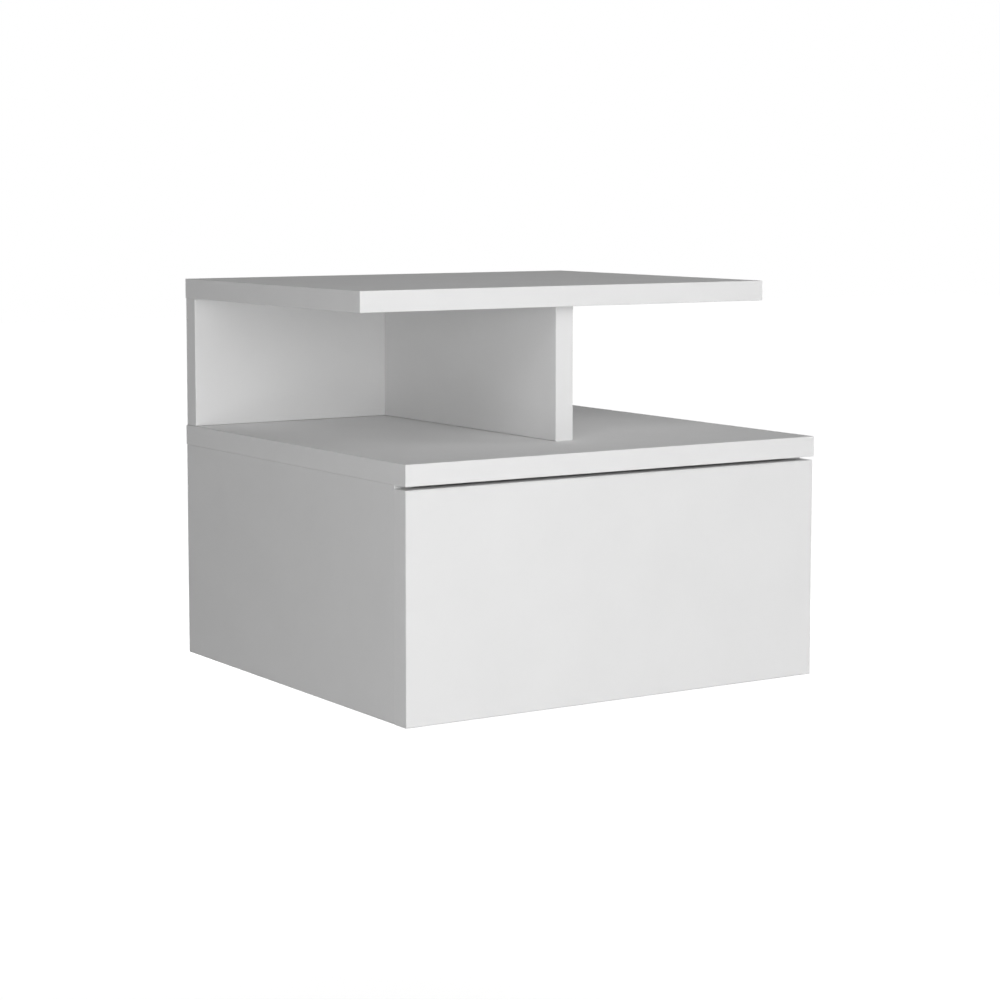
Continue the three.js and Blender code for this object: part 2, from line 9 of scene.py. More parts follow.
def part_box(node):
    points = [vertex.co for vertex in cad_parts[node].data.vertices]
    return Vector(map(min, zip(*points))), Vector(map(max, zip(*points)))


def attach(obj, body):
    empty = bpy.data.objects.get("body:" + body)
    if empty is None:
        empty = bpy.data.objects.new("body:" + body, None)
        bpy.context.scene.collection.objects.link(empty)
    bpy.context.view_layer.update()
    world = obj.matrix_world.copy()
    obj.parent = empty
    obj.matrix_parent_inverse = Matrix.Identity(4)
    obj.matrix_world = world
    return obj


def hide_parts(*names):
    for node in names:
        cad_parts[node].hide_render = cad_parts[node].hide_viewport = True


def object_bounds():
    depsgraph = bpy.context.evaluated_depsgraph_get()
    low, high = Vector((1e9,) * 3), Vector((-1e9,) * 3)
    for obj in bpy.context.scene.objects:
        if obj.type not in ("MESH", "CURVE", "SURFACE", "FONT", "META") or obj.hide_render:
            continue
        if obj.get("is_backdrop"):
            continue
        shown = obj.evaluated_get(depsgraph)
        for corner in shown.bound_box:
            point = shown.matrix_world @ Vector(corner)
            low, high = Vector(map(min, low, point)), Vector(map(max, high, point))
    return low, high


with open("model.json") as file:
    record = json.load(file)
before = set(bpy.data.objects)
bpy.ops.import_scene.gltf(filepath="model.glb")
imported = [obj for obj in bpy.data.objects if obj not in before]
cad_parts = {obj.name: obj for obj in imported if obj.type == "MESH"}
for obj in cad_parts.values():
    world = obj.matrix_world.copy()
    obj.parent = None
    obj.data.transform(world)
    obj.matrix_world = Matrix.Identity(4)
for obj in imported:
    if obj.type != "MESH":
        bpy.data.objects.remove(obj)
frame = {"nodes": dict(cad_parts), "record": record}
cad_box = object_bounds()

# The looks of a wall-hung nightstand: white melamine boards with edge bands, their cam joints
# and screws, and the roller slides of its drawer. Lengths are in metres, so sizes are written
# in millimetres times MM.
MM = 0.001

# Boards
BAND_THICKNESS = 0.6 * MM
BAND_RADIUS = 0.4 * MM
HAIRLINE = 0.3 * MM  # chamfer round a board's core, which shows as the line at a band or a joint
JOINT_GAP = 0.2 * MM  # between the raw end of an upright board and the board that it meets
HOLE_GAP = 0.25 * MM  # round a fastener
PANEL_GAP = 0.25 * MM  # round a panel in its groove
GROOVE_DEPTH = 5 * MM
RIM_CHAMFER = 0.3 * MM  # round the mouth of a drilled hole and the edges of the drawer's bottom
WALL_HOLE_RADIUS = 3.5 * MM
OVERRUN = 1 * MM  # how far a cut reaches past the face that it opens

# Fasteners
CONFIRMAT_PITCH = 3 * MM
BOX_SCREW_PITCH = 1.8 * MM
RAIL_SCREW_PITCH = 1.4 * MM
BOLT_PITCH = 1.6 * MM
BOLT_TIP = 0.4 * MM
BOLT_HEAD_LENGTH = 3 * MM
BOLT_NECK_LENGTH = 4 * MM
BOLT_REACH = 24 * MM  # from the board's edge to the cam's axis
BOLT_TIP_SHARE = 0.6  # of the thread's radius
THREAD_ROOT_SHARE = 0.72  # of the thread's radius
THREAD_SLOPE_SHARE = 0.32  # half of a crest's width, of the pitch
RIM_STEP = 0.3 * MM  # flat edge of a countersunk head
HEAD_CHAMFER = 0.1 * MM
CAM_CHAMFER = 0.4 * MM
CAM_DISH_DEPTH = 0.6 * MM
CAM_RIM_WIDTH = 1.1 * MM
CAM_ARROW_LENGTH = 2 * MM
CAM_ARROW_DEPTH = 0.4 * MM
CAM_ARROW_SHARE = 0.8  # place of the arrow's tip, of the cam's radius
CAM_CROSS_SHARES = (0.46, 0.2, 0.45)  # reach and width of the radius, depth of the length
CROSS_FLOOR_SHARE = 0.45  # size of a cross recess's floor, of its mouth
RAIL_SCREW_RECESS = (2 * MM, 0.8 * MM, 1.6 * MM)  # reach, width and depth of a cross
BOX_SCREW_RECESS = (2.4 * MM, 1 * MM, 2.2 * MM)
CONFIRMAT_SOCKET = (2.3 * MM, 3.4 * MM)  # reach of the corners and depth of a hexagon
PAN_HEAD_RADIUS = 3 * MM
PAN_HEAD_HEIGHT = 1.6 * MM
PAN_SHANK_RADIUS = 1.6 * MM
PAN_ROOT_SHARE = 0.7  # of the shank's radius
PAN_CROSS_SHARES = (0.5, 0.2, 0.8)  # reach and width of the head's radius, depth of its height
PAN_CROWN_SHARES = (0.55, 0.45)  # of the head's radius: the flat middle and the crown round it
PAN_CROWN_RISE_SHARE = 0.7  # of the head's height
BOTTOM_SCREW_LENGTH = 14 * MM
FLANGE_SCREW_LENGTH = 9 * MM
BOTTOM_SCREW_SHARES = (0.15, 0.5, 0.85)  # places across the drawer's back
FLANGE_SCREW_SHARES = (0.1, 0.88)  # places along a drawer rail

# Slides
RAIL_GAUGE = 1.25 * MM
FOLD_RADIUS = 0.6 * MM  # inside a fold
SHEET_EDGE_RADIUS = 0.2 * MM
SLOT_RADIUS = 2 * MM
SLOT_LENGTH = 4 * MM  # between the centres of a slot's round ends
SLOT_SHARES = (0.3, 0.42, 0.62, 0.78)  # places along a rail
ROLLER_RECESS = 0.7 * MM
ROLLER_FILLET = 0.5 * MM
ROLLER_HUB_WALL = 1.3 * MM
ROLLER_RIM_WIDTH = 1.6 * MM
ROLLER_ROUND_SHARE = 0.3  # place of the fillet's middle point, of its size
PIN_DOME = 0.35 * MM
PIN_HEAD = 1 * MM
PIN_HEAD_SHARES = (0.3, 0.7)  # of the head's height: the rim and the dome
CABINET_LIP = 2 * MM
NOTCH_CLEARANCE = 2 * MM  # behind the roller that stands in the notch
STOP_HEIGHT = 2.5 * MM

# Facets
ROUND_SIDES = 48
THREAD_SIDES = 24
THREAD_STEPS = 8  # rings for each turn of a thread
ARC_STEPS = 5
BAND_SEGMENTS = 3  # across the rounded edge of a band
EDGE_SEGMENTS = 2  # across the rounded edge of a panel or a sheet
SHARP_ANGLE = math.radians(35)
RING_SLACK = 0.1 * MM  # within which two rings have one radius
WELD_REACH = 0.001 * MM
FACING = 0.5  # least part of a face's normal along an axis that it faces

# Coatings: two tones in linear red, green and blue, the range of the roughness, the size and
# the relief of the texture, and the specular level
COATINGS = {
    "melamine": (
        (0.79, 0.79, 0.79), (0.775, 0.775, 0.775), (0.66, 0.74), 0.7 * MM, 0.006 * MM, 0.1,
    ),
    "edge_band": (
        (0.8, 0.8, 0.8), (0.785, 0.785, 0.785), (0.62, 0.7), 0.5 * MM, 0.004 * MM, 0.12,
    ),
    "lacquer": (
        (0.74, 0.735, 0.72), (0.71, 0.705, 0.69), (0.38, 0.48), 1.5 * MM, 0.008 * MM, 0.35,
    ),
    "epoxy": (
        (0.76, 0.76, 0.755), (0.73, 0.73, 0.725), (0.26, 0.36), 1.2 * MM, 0.02 * MM, 0.5,
    ),
    "nylon": (
        (0.7, 0.69, 0.64), (0.64, 0.63, 0.575), (0.36, 0.48), 0.4 * MM, 0.003 * MM, 0.45,
    ),
}
CLOUD_SIZE = 45 * MM  # of the change between a coating's tones
CLOUD_DETAIL = 3.0
NOISE_RANGE = (0.3, 0.7)  # where most values of a noise lie

# Metals: two tones, the range of the roughness, the size and the relief of the marks
METALS = {
    "zinc_plate": (
        (0.6, 0.61, 0.63), (0.52, 0.51, 0.49), (0.24, 0.36), 0.3 * MM, 0.004 * MM,
    ),
    "die_cast_zinc": (
        (0.47, 0.475, 0.485), (0.36, 0.36, 0.365), (0.38, 0.55), 0.35 * MM, 0.01 * MM,
    ),
}
METAL_CLOUD_SIZE = 4 * MM
METAL_MARK_DETAIL = 4.0

# Raw particleboard
CHIP_LIGHT = (0.53, 0.37, 0.21)
CHIP_MIDDLE = (0.36, 0.23, 0.12)
CHIP_DARK = (0.17, 0.10, 0.05)
CHIP_SIZE = 1.3 * MM
CHIP_BEND = 2 * MM  # how far the chips' outlines wander
CHIP_BEND_SIZE = 3 * MM
CHIP_TONE_RANGE = (0.15, 0.85)
CHIP_FIBRE_SIZE = 0.7 * MM
CHIP_FIBRE_DETAIL = 5.0
CHIP_FIBRE_RANGE = (0.56, 0.68)
CHIP_ROUGHNESS = (0.75, 0.95)
CHIP_ROUGHNESS_SIZE = 1 * MM
CHIP_RELIEF = 0.15 * MM
CHIP_SPECULAR = 0.25

# Raw side of the hardboard
FIBRE_LIGHT = (0.34, 0.21, 0.115)
FIBRE_DARK = (0.19, 0.11, 0.055)
FIBRE_SIZE = 0.9 * MM
FIBRE_STRETCH = (1.0, 0.35, 1.0)
FIBRE_DETAIL = 6.0
FIBRE_CLOUD_SIZE = 30 * MM
FIBRE_TONE_RANGE = (0.75, 1.25)
FIBRE_ROUGHNESS = (0.62, 0.8)
FIBRE_SPECULAR = 0.3
SCREEN_SIZE = 7 * MM
SCREEN_DISTORTION = 0.4
SCREEN_RELIEF = 0.06 * MM

WHITE = (1.0, 1.0, 1.0)

# Stage
FLOOR_LEVEL = -0.52
FLOOR_REACH = 12.0
FLOOR_SQUARES = 8
FLOOR_COLOUR = (0.8, 0.8, 0.8)
GLOW_NEAR = 0.68  # the floor's own brightness round the object, where the lamps light it too
GLOW_NEAR_REACH = 0.2
GLOW_FAR_REACH = 1.8  # beyond it the floor glows white
WORLD_STRENGTH = 0.05
CAMERA_PLACE = (-1.01413, -1.72952, 0.27995)
CAMERA_YAW = math.radians(32.65)  # to the right of the wall's normal
CAMERA_PITCH = math.radians(5.38)  # below the horizon
CAMERA_LENS = 89.154
SENSOR_WIDTH = 36.0
CAMERA_SHIFT = (0.02, -0.08)
# Each lamp's name, place, size and power in watts. It looks at the object's middle.
LAMPS = (
    ("front_lamp", (0.0, -3.0, 1.2), 1.5, 19.2),
    ("left_front_lamp", (-1.5, -2.6, 0.1), 1.5, 37.9),
    ("left_high_lamp", (-1.72, -1.88, 1.82), 1.5, 15.9),
    ("right_lamp", (2.68, -1.14, 0.99), 1.5, 30.8),
    ("rear_lamp", (0.3, 2.9, -0.2), 1.0, 18.0),
)

AXES = {
    "left": (0, -1), "right": (0, 1), "front": (1, -1),
    "rear": (1, 1), "bottom": (2, -1), "top": (2, 1),
}

# The edges of each board that carry an edge band. The bands come in this order, and each one
# covers the ends of those after it. Other edges are raw.
BANDS = {
    "shelf_panel": ("front", "left", "right"),
    "top_panel": ("front", "left", "right"),
    "case_back_panel": ("bottom",),
    "niche_back_panel": ("left", "right"),
    "divider_panel": ("front",),
    "side_panel_left": ("front", "bottom"),
    "side_panel_right": ("front", "bottom"),
    "drawer_front": ("left", "right", "top", "bottom"),
    "drawer_back": ("top",),
    "drawer_side_left": ("top",),
    "drawer_side_right": ("top",),
}

# Raw ends that show a joint line, because they meet a face in the niche
BUTTS = {
    "divider_panel": ("rear", "bottom", "top"),
    "niche_back_panel": ("bottom", "top"),
}

record = frame["record"]
body_of = {node: body for body, nodes in record["behaviour"]["bodies"].items() for node in nodes}
slot_of = {row["node"]: row["material_slot"] for row in record["subparts"]}


# Node trees

def new_material(name):
    material = bpy.data.materials.new(name)
    material.use_nodes = True
    return material, material.node_tree, material.node_tree.nodes["Principled BSDF"]


def add_node(tree, kind, inputs, **settings):
    """Adds a node. An input is set to a value, or linked if the value is a socket."""
    made = tree.nodes.new(kind)
    for key, value in settings.items():
        setattr(made, key, value)
    for key, value in inputs.items():
        if isinstance(value, bpy.types.NodeSocket):
            tree.links.new(value, made.inputs[key])
        else:
            made.inputs[key].default_value = value
    return made


def place(tree, stretch=(1.0, 1.0, 1.0)):
    """The object's own coordinates in metres, stretched along its axes."""
    source = tree.nodes.new("ShaderNodeTexCoord").outputs["Object"]
    return add_node(tree, "ShaderNodeMapping", {"Vector": source, "Scale": stretch}).outputs[0]


def calculate(tree, operation, first, second):
    inputs = {0: first, 1: second}
    return add_node(tree, "ShaderNodeMath", inputs, operation=operation).outputs[0]


def noise(tree, vector, size, detail=2.0):
    """Soft noise from 0 to 1 whose features are about size metres across."""
    inputs = {"Vector": vector, "Scale": 1 / size, "Detail": detail}
    return add_node(tree, "ShaderNodeTexNoise", inputs).outputs["Fac"]


def spread(tree, value, low, high, start=NOISE_RANGE[0], end=NOISE_RANGE[1]):
    """The value's range from start to end, stretched to run from low to high."""
    inputs = {"Value": value, "From Min": start, "From Max": end, "To Min": low, "To Max": high}
    return add_node(tree, "ShaderNodeMapRange", inputs).outputs["Result"]


def blend(tree, share, first, second):
    """A colour between first and second."""
    mix = add_node(tree, "ShaderNodeMix", {"Factor": share}, data_type="RGBA")
    for key, colour in (("A", first), ("B", second)):
        socket = next(s for s in mix.inputs if s.name == key and s.type == "RGBA")
        if isinstance(colour, bpy.types.NodeSocket):
            tree.links.new(colour, socket)
        else:
            socket.default_value = (*colour, 1.0)
    return next(s for s in mix.outputs if s.type == "RGBA")


def raise_surface(tree, shader, height, distance):
    inputs = {"Height": height, "Distance": distance, "Strength": 1.0}
    bump = add_node(tree, "ShaderNodeBump", inputs)
    tree.links.new(bump.outputs["Normal"], shader.inputs["Normal"])


def connect(tree, shader, colour, roughness):
    tree.links.new(colour, shader.inputs["Base Color"])
    tree.links.new(roughness, shader.inputs["Roughness"])


# Materials

def coated(name):
    """A smooth coated surface with faint cloudiness and a fine pearl texture."""
    light, deep, rough, texture, relief, shine = COATINGS[name]
    material, tree, shader = new_material(name)
    at = place(tree)
    cloud = spread(tree, noise(tree, at, CLOUD_SIZE, CLOUD_DETAIL), 0.0, 1.0)
    pearl = noise(tree, at, texture)
    connect(tree, shader, blend(tree, cloud, light, deep), spread(tree, pearl, *rough))
    raise_surface(tree, shader, pearl, relief)
    shader.inputs["Specular IOR Level"].default_value = shine
    return material


def particleboard():
    """Pressed chips: cells of several tones with fine dark fibres between them."""
    material, tree, shader = new_material("particleboard")
    at = place(tree)
    bends = {"Vector": at, "Scale": 1 / CHIP_BEND_SIZE}
    warp = add_node(tree, "ShaderNodeTexNoise", bends).outputs["Color"]
    bent = add_node(
        tree, "ShaderNodeMix", {"Factor": CHIP_BEND}, data_type="RGBA", blend_type="ADD",
    )
    sockets = {s.name: s for s in bent.inputs if s.type == "RGBA"}
    tree.links.new(at, sockets["A"])
    tree.links.new(warp, sockets["B"])
    shifted = next(s for s in bent.outputs if s.type == "RGBA")
    cells = add_node(tree, "ShaderNodeTexVoronoi", {"Vector": shifted, "Scale": 1 / CHIP_SIZE})
    tone = add_node(tree, "ShaderNodeSeparateColor", {"Color": cells.outputs["Color"]}).outputs[0]
    base = blend(tree, spread(tree, tone, 0.0, 1.0, *CHIP_TONE_RANGE), CHIP_LIGHT, CHIP_MIDDLE)
    strands = noise(tree, at, CHIP_FIBRE_SIZE, CHIP_FIBRE_DETAIL)
    fibre = spread(tree, strands, 0.0, 1.0, *CHIP_FIBRE_RANGE)
    rough = spread(tree, noise(tree, at, CHIP_ROUGHNESS_SIZE), *CHIP_ROUGHNESS)
    connect(tree, shader, blend(tree, fibre, base, CHIP_DARK), rough)
    raise_surface(tree, shader, cells.outputs["Distance"], CHIP_RELIEF)
    shader.inputs["Specular IOR Level"].default_value = CHIP_SPECULAR
    return material


def hardboard_back():
    """The raw side of hardboard: pressed brown fibre with a faint screen print."""
    material, tree, shader = new_material("hardboard_back")
    at = place(tree)
    fibre = noise(tree, place(tree, FIBRE_STRETCH), FIBRE_SIZE, FIBRE_DETAIL)
    waves = {"Vector": at, "Scale": 1 / SCREEN_SIZE, "Distortion": SCREEN_DISTORTION}
    along = add_node(tree, "ShaderNodeTexWave", waves, bands_direction="X").outputs["Fac"]
    across = add_node(tree, "ShaderNodeTexWave", waves, bands_direction="Y").outputs["Fac"]
    screen = calculate(tree, "MULTIPLY", along, across)
    cloud = noise(tree, at, FIBRE_CLOUD_SIZE, CLOUD_DETAIL)
    tone = calculate(tree, "ADD", fibre, cloud)
    colour = blend(tree, spread(tree, tone, 0.0, 1.0, *FIBRE_TONE_RANGE), FIBRE_LIGHT, FIBRE_DARK)
    connect(tree, shader, colour, spread(tree, fibre, *FIBRE_ROUGHNESS))
    raise_surface(tree, shader, screen, SCREEN_RELIEF)
    shader.inputs["Specular IOR Level"].default_value = FIBRE_SPECULAR
    return material


def metal(name):
    """Bare metal with a cloudy tone and fine marks."""
    light, deep, rough, texture, relief = METALS[name]
    material, tree, shader = new_material(name)
    at = place(tree)
    cloud = spread(tree, noise(tree, at, METAL_CLOUD_SIZE, CLOUD_DETAIL), 0.0, 1.0)
    marks = noise(tree, at, texture, METAL_MARK_DETAIL)
    connect(tree, shader, blend(tree, cloud, light, deep), spread(tree, marks, *rough))
    raise_surface(tree, shader, marks, relief)
    shader.inputs["Metallic"].default_value = 1.0
    return material


melamine, edge_band, lacquer, epoxy, nylon = (coated(name) for name in COATINGS)
zinc_plate, die_cast = (metal(name) for name in METALS)
chipboard = particleboard()
fibreboard = hardboard_back()


# Meshes

def mesh_of(name, shape):
    """Makes a mesh from a bmesh, and frees the bmesh."""
    mesh = bpy.data.meshes.new(name)
    shape.to_mesh(mesh)
    shape.free()
    return mesh


def add_object(name, data):
    """Adds an object to the scene."""
    made = bpy.data.objects.new(name, data)
    bpy.context.scene.collection.objects.link(made)
    return made


def add_piece(name, shape, materials, body, slot):
    """Adds a piece from a bmesh and lets it ride on a body."""
    bmesh.ops.recalc_face_normals(shape, faces=shape.faces)
    piece = add_object(name, mesh_of(name, shape))
    for material in materials:
        piece.data.materials.append(material)
    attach(piece, body)
    return piece


def stand_in(name, shape, materials, node):
    """Adds a piece with the given materials that stands for a CAD node, lets it ride on the node's
    body, and hides the node.
    """
    piece = add_piece(name, shape, materials, body_of[node], slot_of[node])
    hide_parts(node)
    return piece


def smooth(piece):
    """Shades a piece smooth up to SHARP_ANGLE, and keeps its large faces flat."""
    piece.data.shade_smooth()
    piece.data.set_sharp_from_angle(angle=SHARP_ANGLE)
    piece.modifiers.new("normals", "WEIGHTED_NORMAL").keep_sharp = True


def cut(piece, *shapes):
    """Cuts bmesh shapes out of a piece, one after the other."""
    cutters = []
    for shape in shapes:
        bmesh.ops.recalc_face_normals(shape, faces=shape.faces)
        cutters.append(add_object("cutter", mesh_of("cutter", shape)))
        modifier = piece.modifiers.new("cut", "BOOLEAN")
        modifier.object = cutters[-1]
        modifier.solver = "EXACT"
    graph = bpy.context.evaluated_depsgraph_get()
    whole, piece_mesh = piece.data, bpy.data.meshes.new_from_object(piece.evaluated_get(graph))
    piece.modifiers.clear()
    piece.data = piece_mesh
    piece_mesh.name = piece.name
    bpy.data.meshes.remove(whole)
    for cutter in cutters:
        bpy.data.meshes.remove(cutter.data)
    weld(piece_mesh)
    return piece


def weld(mesh):
    """Joins the points that a cut leaves in one place, and drops the faces without area."""
    shape = bmesh.new()
    shape.from_mesh(mesh)
    bmesh.ops.remove_doubles(shape, verts=shape.verts, dist=WELD_REACH)
    bmesh.ops.dissolve_degenerate(shape, edges=shape.edges, dist=WELD_REACH)
    shape.to_mesh(mesh)
    shape.free()


def add_box(shape, low, high):
    """Adds a box to a bmesh."""
    size = Vector(high) - Vector(low)
    middle = Matrix.Translation((Vector(high) + Vector(low)) / 2)
    bmesh.ops.create_cube(shape, size=1.0, matrix=middle @ Matrix.Diagonal((*size, 1.0)))


def bevel(shape, edges, size, segments=1):
    bmesh.ops.bevel(
        shape, geom=list(edges), offset=size, segments=segments, profile=0.5, affect="EDGES",
    )


def on_surface(face, low, high):
    """Whether a box's face lies on the outer surface of a larger box."""
    axis = max(range(3), key=lambda i: abs(face.normal[i]))
    level = high[axis] if face.normal[axis] > 0 else low[axis]
    return abs(face.calc_center_median()[axis] - level) < BAND_THICKNESS / 2


def turned(outline, sides=ROUND_SIDES, closed=False):
    """A round solid about Z, from (radius, height) points. A radius may be a function of the
    angle. A closed outline has a bore, and its last point joins its first."""
    shape = bmesh.new()
    rings = []
    for radius, height in outline:
        if not callable(radius) and radius == 0:
            rings.append([shape.verts.new((0, 0, height))])
            continue
        ring = []
        for step in range(sides):
            angle = 2 * math.pi * step / sides
            reach = radius(angle) if callable(radius) else radius
            x, y = reach * math.cos(angle), reach * math.sin(angle)
            ring.append(shape.verts.new((x, y, height)))
        rings.append(ring)
    pairs = list(zip(rings, rings[1:]))
    if closed:
        pairs.append((rings[-1], rings[0]))
    for lower, upper in pairs:
        for step in range(sides):
            after = (step + 1) % sides
            if len(lower) == 1:
                shape.faces.new((lower[0], upper[after], upper[step]))
            elif len(upper) == 1:
                shape.faces.new((lower[step], lower[after], upper[0]))
            else:
                shape.faces.new((lower[step], lower[after], upper[after], upper[step]))
    return shape


def prism(outline, start, end, share=1.0):
    """A prism about Z from (x, y) points. Its end is drawn in to a share of its start."""
    shape = bmesh.new()
    low = [shape.verts.new((x, y, start)) for x, y in outline]
    high = [shape.verts.new((x * share, y * share, end)) for x, y in outline]
    shape.faces.new(low)
    shape.faces.new(high)
    count = len(outline)
    for step in range(count):
        after = (step + 1) % count
        shape.faces.new((low[step], low[after], high[after], high[step]))
    return shape


def moved(shape, matrix):
    bmesh.ops.transform(shape, matrix=matrix, verts=shape.verts)
    return shape


def joined(shapes, index=1):
    """One bmesh that holds all the shapes, with the material of that index on each face."""
    whole = bmesh.new()
    for shape in shapes:
        mesh = mesh_of("part", shape)
        whole.from_mesh(mesh)
        bpy.data.meshes.remove(mesh)
    for face in whole.faces:
        face.material_index = index
    return whole


# Places of round nodes

def axis_of(node):
    """The axis that a round node is turned about: its sizes along the other two are alike."""
    low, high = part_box(node)
    size = high - low
    return min(range(3), key=lambda i: abs(size[i - 1] - size[i - 2]))


def ring_points(node):
    """The radius and the place along the axis of each vertex of a round node."""
    low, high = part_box(node)
    middle, axis = (low + high) / 2, axis_of(node)
    for vertex in frame["nodes"][node].data.vertices:
        out = vertex.co - middle
        along, out[axis] = out[axis], 0
        yield out.length, along


def radii(node):
    """The different radii of a round node's rings, the smallest first."""
    return sorted({round(radius / MM, 2) * MM for radius, _ in ring_points(node)})


def end_with(node, chosen):
    """1 or -1: the end of a round node's axis where the rings with a chosen radius lie."""
    total = sum(along for radius, along in ring_points(node) if chosen(radius))
    return 1 if total > 0 else -1


def wide_end(node):
    """1 or -1: the end of a round node's axis where its widest rings lie."""
    widest = radii(node)[-1] - RING_SLACK
    return end_with(node, lambda radius: radius > widest)


def head_end(bolt):
    """1 or -1: the end of a cam bolt's axis where its head lies, next to its neck."""
    neck = next(radius for radius in radii(bolt) if radius > 0)
    return end_with(bolt, lambda radius: abs(radius - neck) < RING_SLACK)


def stood(node, sign):
    """The matrix that stands a shape, made upward from the origin, on the end of a node's axis
    that sign names, so that it reaches to the other end."""
    low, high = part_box(node)
    axis, foot = axis_of(node), (low + high) / 2
    foot[axis] = high[axis] if sign > 0 else low[axis]
    up = Vector((0, 0, 0))
    up[axis] = -sign
    return Matrix.Translation(foot) @ up.to_track_quat("Z", "Y").to_matrix().to_4x4()


def length_of(node):
    low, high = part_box(node)
    return (high - low)[axis_of(node)]


def overlaps(first, second):
    """Whether the boxes of two nodes share some space."""
    (low_a, high_a), (low_b, high_b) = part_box(first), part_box(second)
    return all(min(high_a[i], high_b[i]) - max(low_a[i], low_b[i]) > HOLE_GAP for i in range(3))


# Fasteners

def thread(radius, root, start, end, pitch):
    """Outline points of a thread that runs out at both ends."""
    points = []
    count = round((end - start) / pitch * THREAD_STEPS)
    for step in range(count + 1):
        height = start + (end - start) * step / count
        rise = min(1.0, (height - start) / pitch, (end - height) / pitch)

        def reach(angle, height=height, rise=rise):
            turn = (height / pitch - angle / (2 * math.pi)) % 1.0
            crest = max(0.0, 1 - abs(turn - 0.5) / THREAD_SLOPE_SHARE)
            return root + (radius - root) * crest * rise

        points.append((reach, height))
    return points


def cross_recess(reach, width, depth):
    """A cutter for a cross recess, open at the origin's level."""
    half = width / 2
    quarter = [(reach, -half), (reach, half), (half, half)]
    outline = []
    for step in range(4):
        turn = Matrix.Rotation(step * math.pi / 2, 2)
        outline += [tuple(turn @ Vector(point)) for point in quarter]
    return prism(outline, -OVERRUN, depth, CROSS_FLOOR_SHARE)


def hex_recess(reach, depth):
    corners = [step * math.pi / 3 for step in range(6)]
    outline = [(reach * math.cos(angle), reach * math.sin(angle)) for angle in corners]
    return prism(outline, -OVERRUN, depth)


def add_screw(node, pitch, recess):
    """A countersunk screw with a thread, a rounded head edge and a recess."""
    _, shank, head = radii(node)
    length = length_of(node)
    root = THREAD_ROOT_SHARE * shank
    cone = RIM_STEP + head - shank
    outline = [
        (0, 0), (head - HEAD_CHAMFER, 0), (head, HEAD_CHAMFER), (head, RIM_STEP),
        (shank, cone), (shank, cone + pitch / 2),
    ]
    outline += thread(shank, root, cone + pitch, length - shank, pitch)
    outline.append((0, length))
    place_at = stood(node, wide_end(node))
    shape = moved(turned(outline, THREAD_SIDES), place_at)
    screw = stand_in(f"{node}_threaded", shape, [zinc_plate], node)
    smooth(cut(screw, moved(recess, place_at)))


def add_cam_bolt(node):
    """A cam bolt: a thread in the mating board, a collar, a shank, a neck and a head."""
    sizes = radii(node)
    neck, shank = sizes[1], sizes[-1]
    screw = sizes[-2] if len(sizes) > 3 else shank
    length = length_of(node)
    seam = length - BOLT_REACH - BOLT_HEAD_LENGTH / 2
    head = length - BOLT_HEAD_LENGTH
    foot = head - BOLT_NECK_LENGTH
    outline = [(0, 0), (BOLT_TIP_SHARE * screw, 0)]
    root = THREAD_ROOT_SHARE * screw
    outline += thread(screw, root, BOLT_TIP, seam - BOLT_PITCH / 2, BOLT_PITCH)
    outline += [
        (shank - CAM_CHAMFER, seam),
        (shank, seam + CAM_CHAMFER),
        (shank, foot - CAM_CHAMFER),
        (shank - CAM_CHAMFER, foot),
        (neck, foot + CAM_CHAMFER),
        (neck, head),
        (shank - CAM_CHAMFER, head),
        (shank, head + CAM_CHAMFER),
        (shank, length - CAM_CHAMFER),
        (shank - CAM_CHAMFER, length),
        (0, length),
    ]
    shape = moved(turned(outline, THREAD_SIDES), stood(node, -head_end(node)))
    smooth(stand_in(f"{node}_threaded", shape, [zinc_plate], node))


def open_face(node, host):
    """1 or -1: the end of a node's axis that lies in a face of its host."""
    axis = axis_of(node)
    (low, high), (host_low, host_high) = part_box(node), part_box(host)
    return 1 if host_high[axis] - high[axis] < low[axis] - host_low[axis] else -1


def add_cam(node, host, bolt):
    """A cam: a drum with a dished face, a cross recess, an arrow and a slot for its bolt."""
    radius = radii(node)[-1]
    depth = length_of(node)
    dish = radius - CAM_RIM_WIDTH
    outline = [
        (0, CAM_DISH_DEPTH),
        (dish - CAM_CHAMFER, CAM_DISH_DEPTH),
        (dish, CAM_CHAMFER / 2),
        (dish + CAM_CHAMFER / 4, 0),
        (radius - CAM_CHAMFER, 0),
        (radius, CAM_CHAMFER),
        (radius, depth - CAM_CHAMFER),
        (radius - CAM_CHAMFER, depth),
        (0, depth),
    ]
    place_at = stood(node, open_face(node, host))
    cam = stand_in(f"{node}_drum", moved(turned(outline), place_at), [die_cast], node)
    reach, width, floor = CAM_CROSS_SHARES
    recess = cross_recess(reach * radius, width * radius, floor * depth)
    low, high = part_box(bolt)
    toward_bolt = place_at.inverted() @ ((low + high) / 2)
    turn = Matrix.Rotation(math.atan2(toward_bolt.y, toward_bolt.x), 4, "Z")
    tip = CAM_ARROW_SHARE * radius
    back, half = tip - CAM_ARROW_LENGTH, CAM_ARROW_LENGTH / 2
    mark = prism([(tip, 0), (back, half), (back, -half)], 0, CAM_DISH_DEPTH + CAM_ARROW_DEPTH)
    bore = rod_cutter(radii(bolt)[-1] + HOLE_GAP, 0, length_of(bolt) + HOLE_GAP)
    bore = moved(bore, stood(bolt, -head_end(bolt)))
    smooth(cut(cam, moved(recess, place_at), moved(mark, place_at @ turn), bore))


# Boards

def rod_cutter(radius, start, end, mouth=None):
    """A drill along Z. With a mouth, the hole's edge at that height is chamfered."""
    outline = [(0, start)]
    if mouth is not None:
        wide = radius + RIM_CHAMFER
        outline += [(wide, start), (wide, mouth), (radius, mouth + RIM_CHAMFER)]
    else:
        outline.append((radius, start))
    outline += [(radius, end), (0, end)]
    return turned(outline)


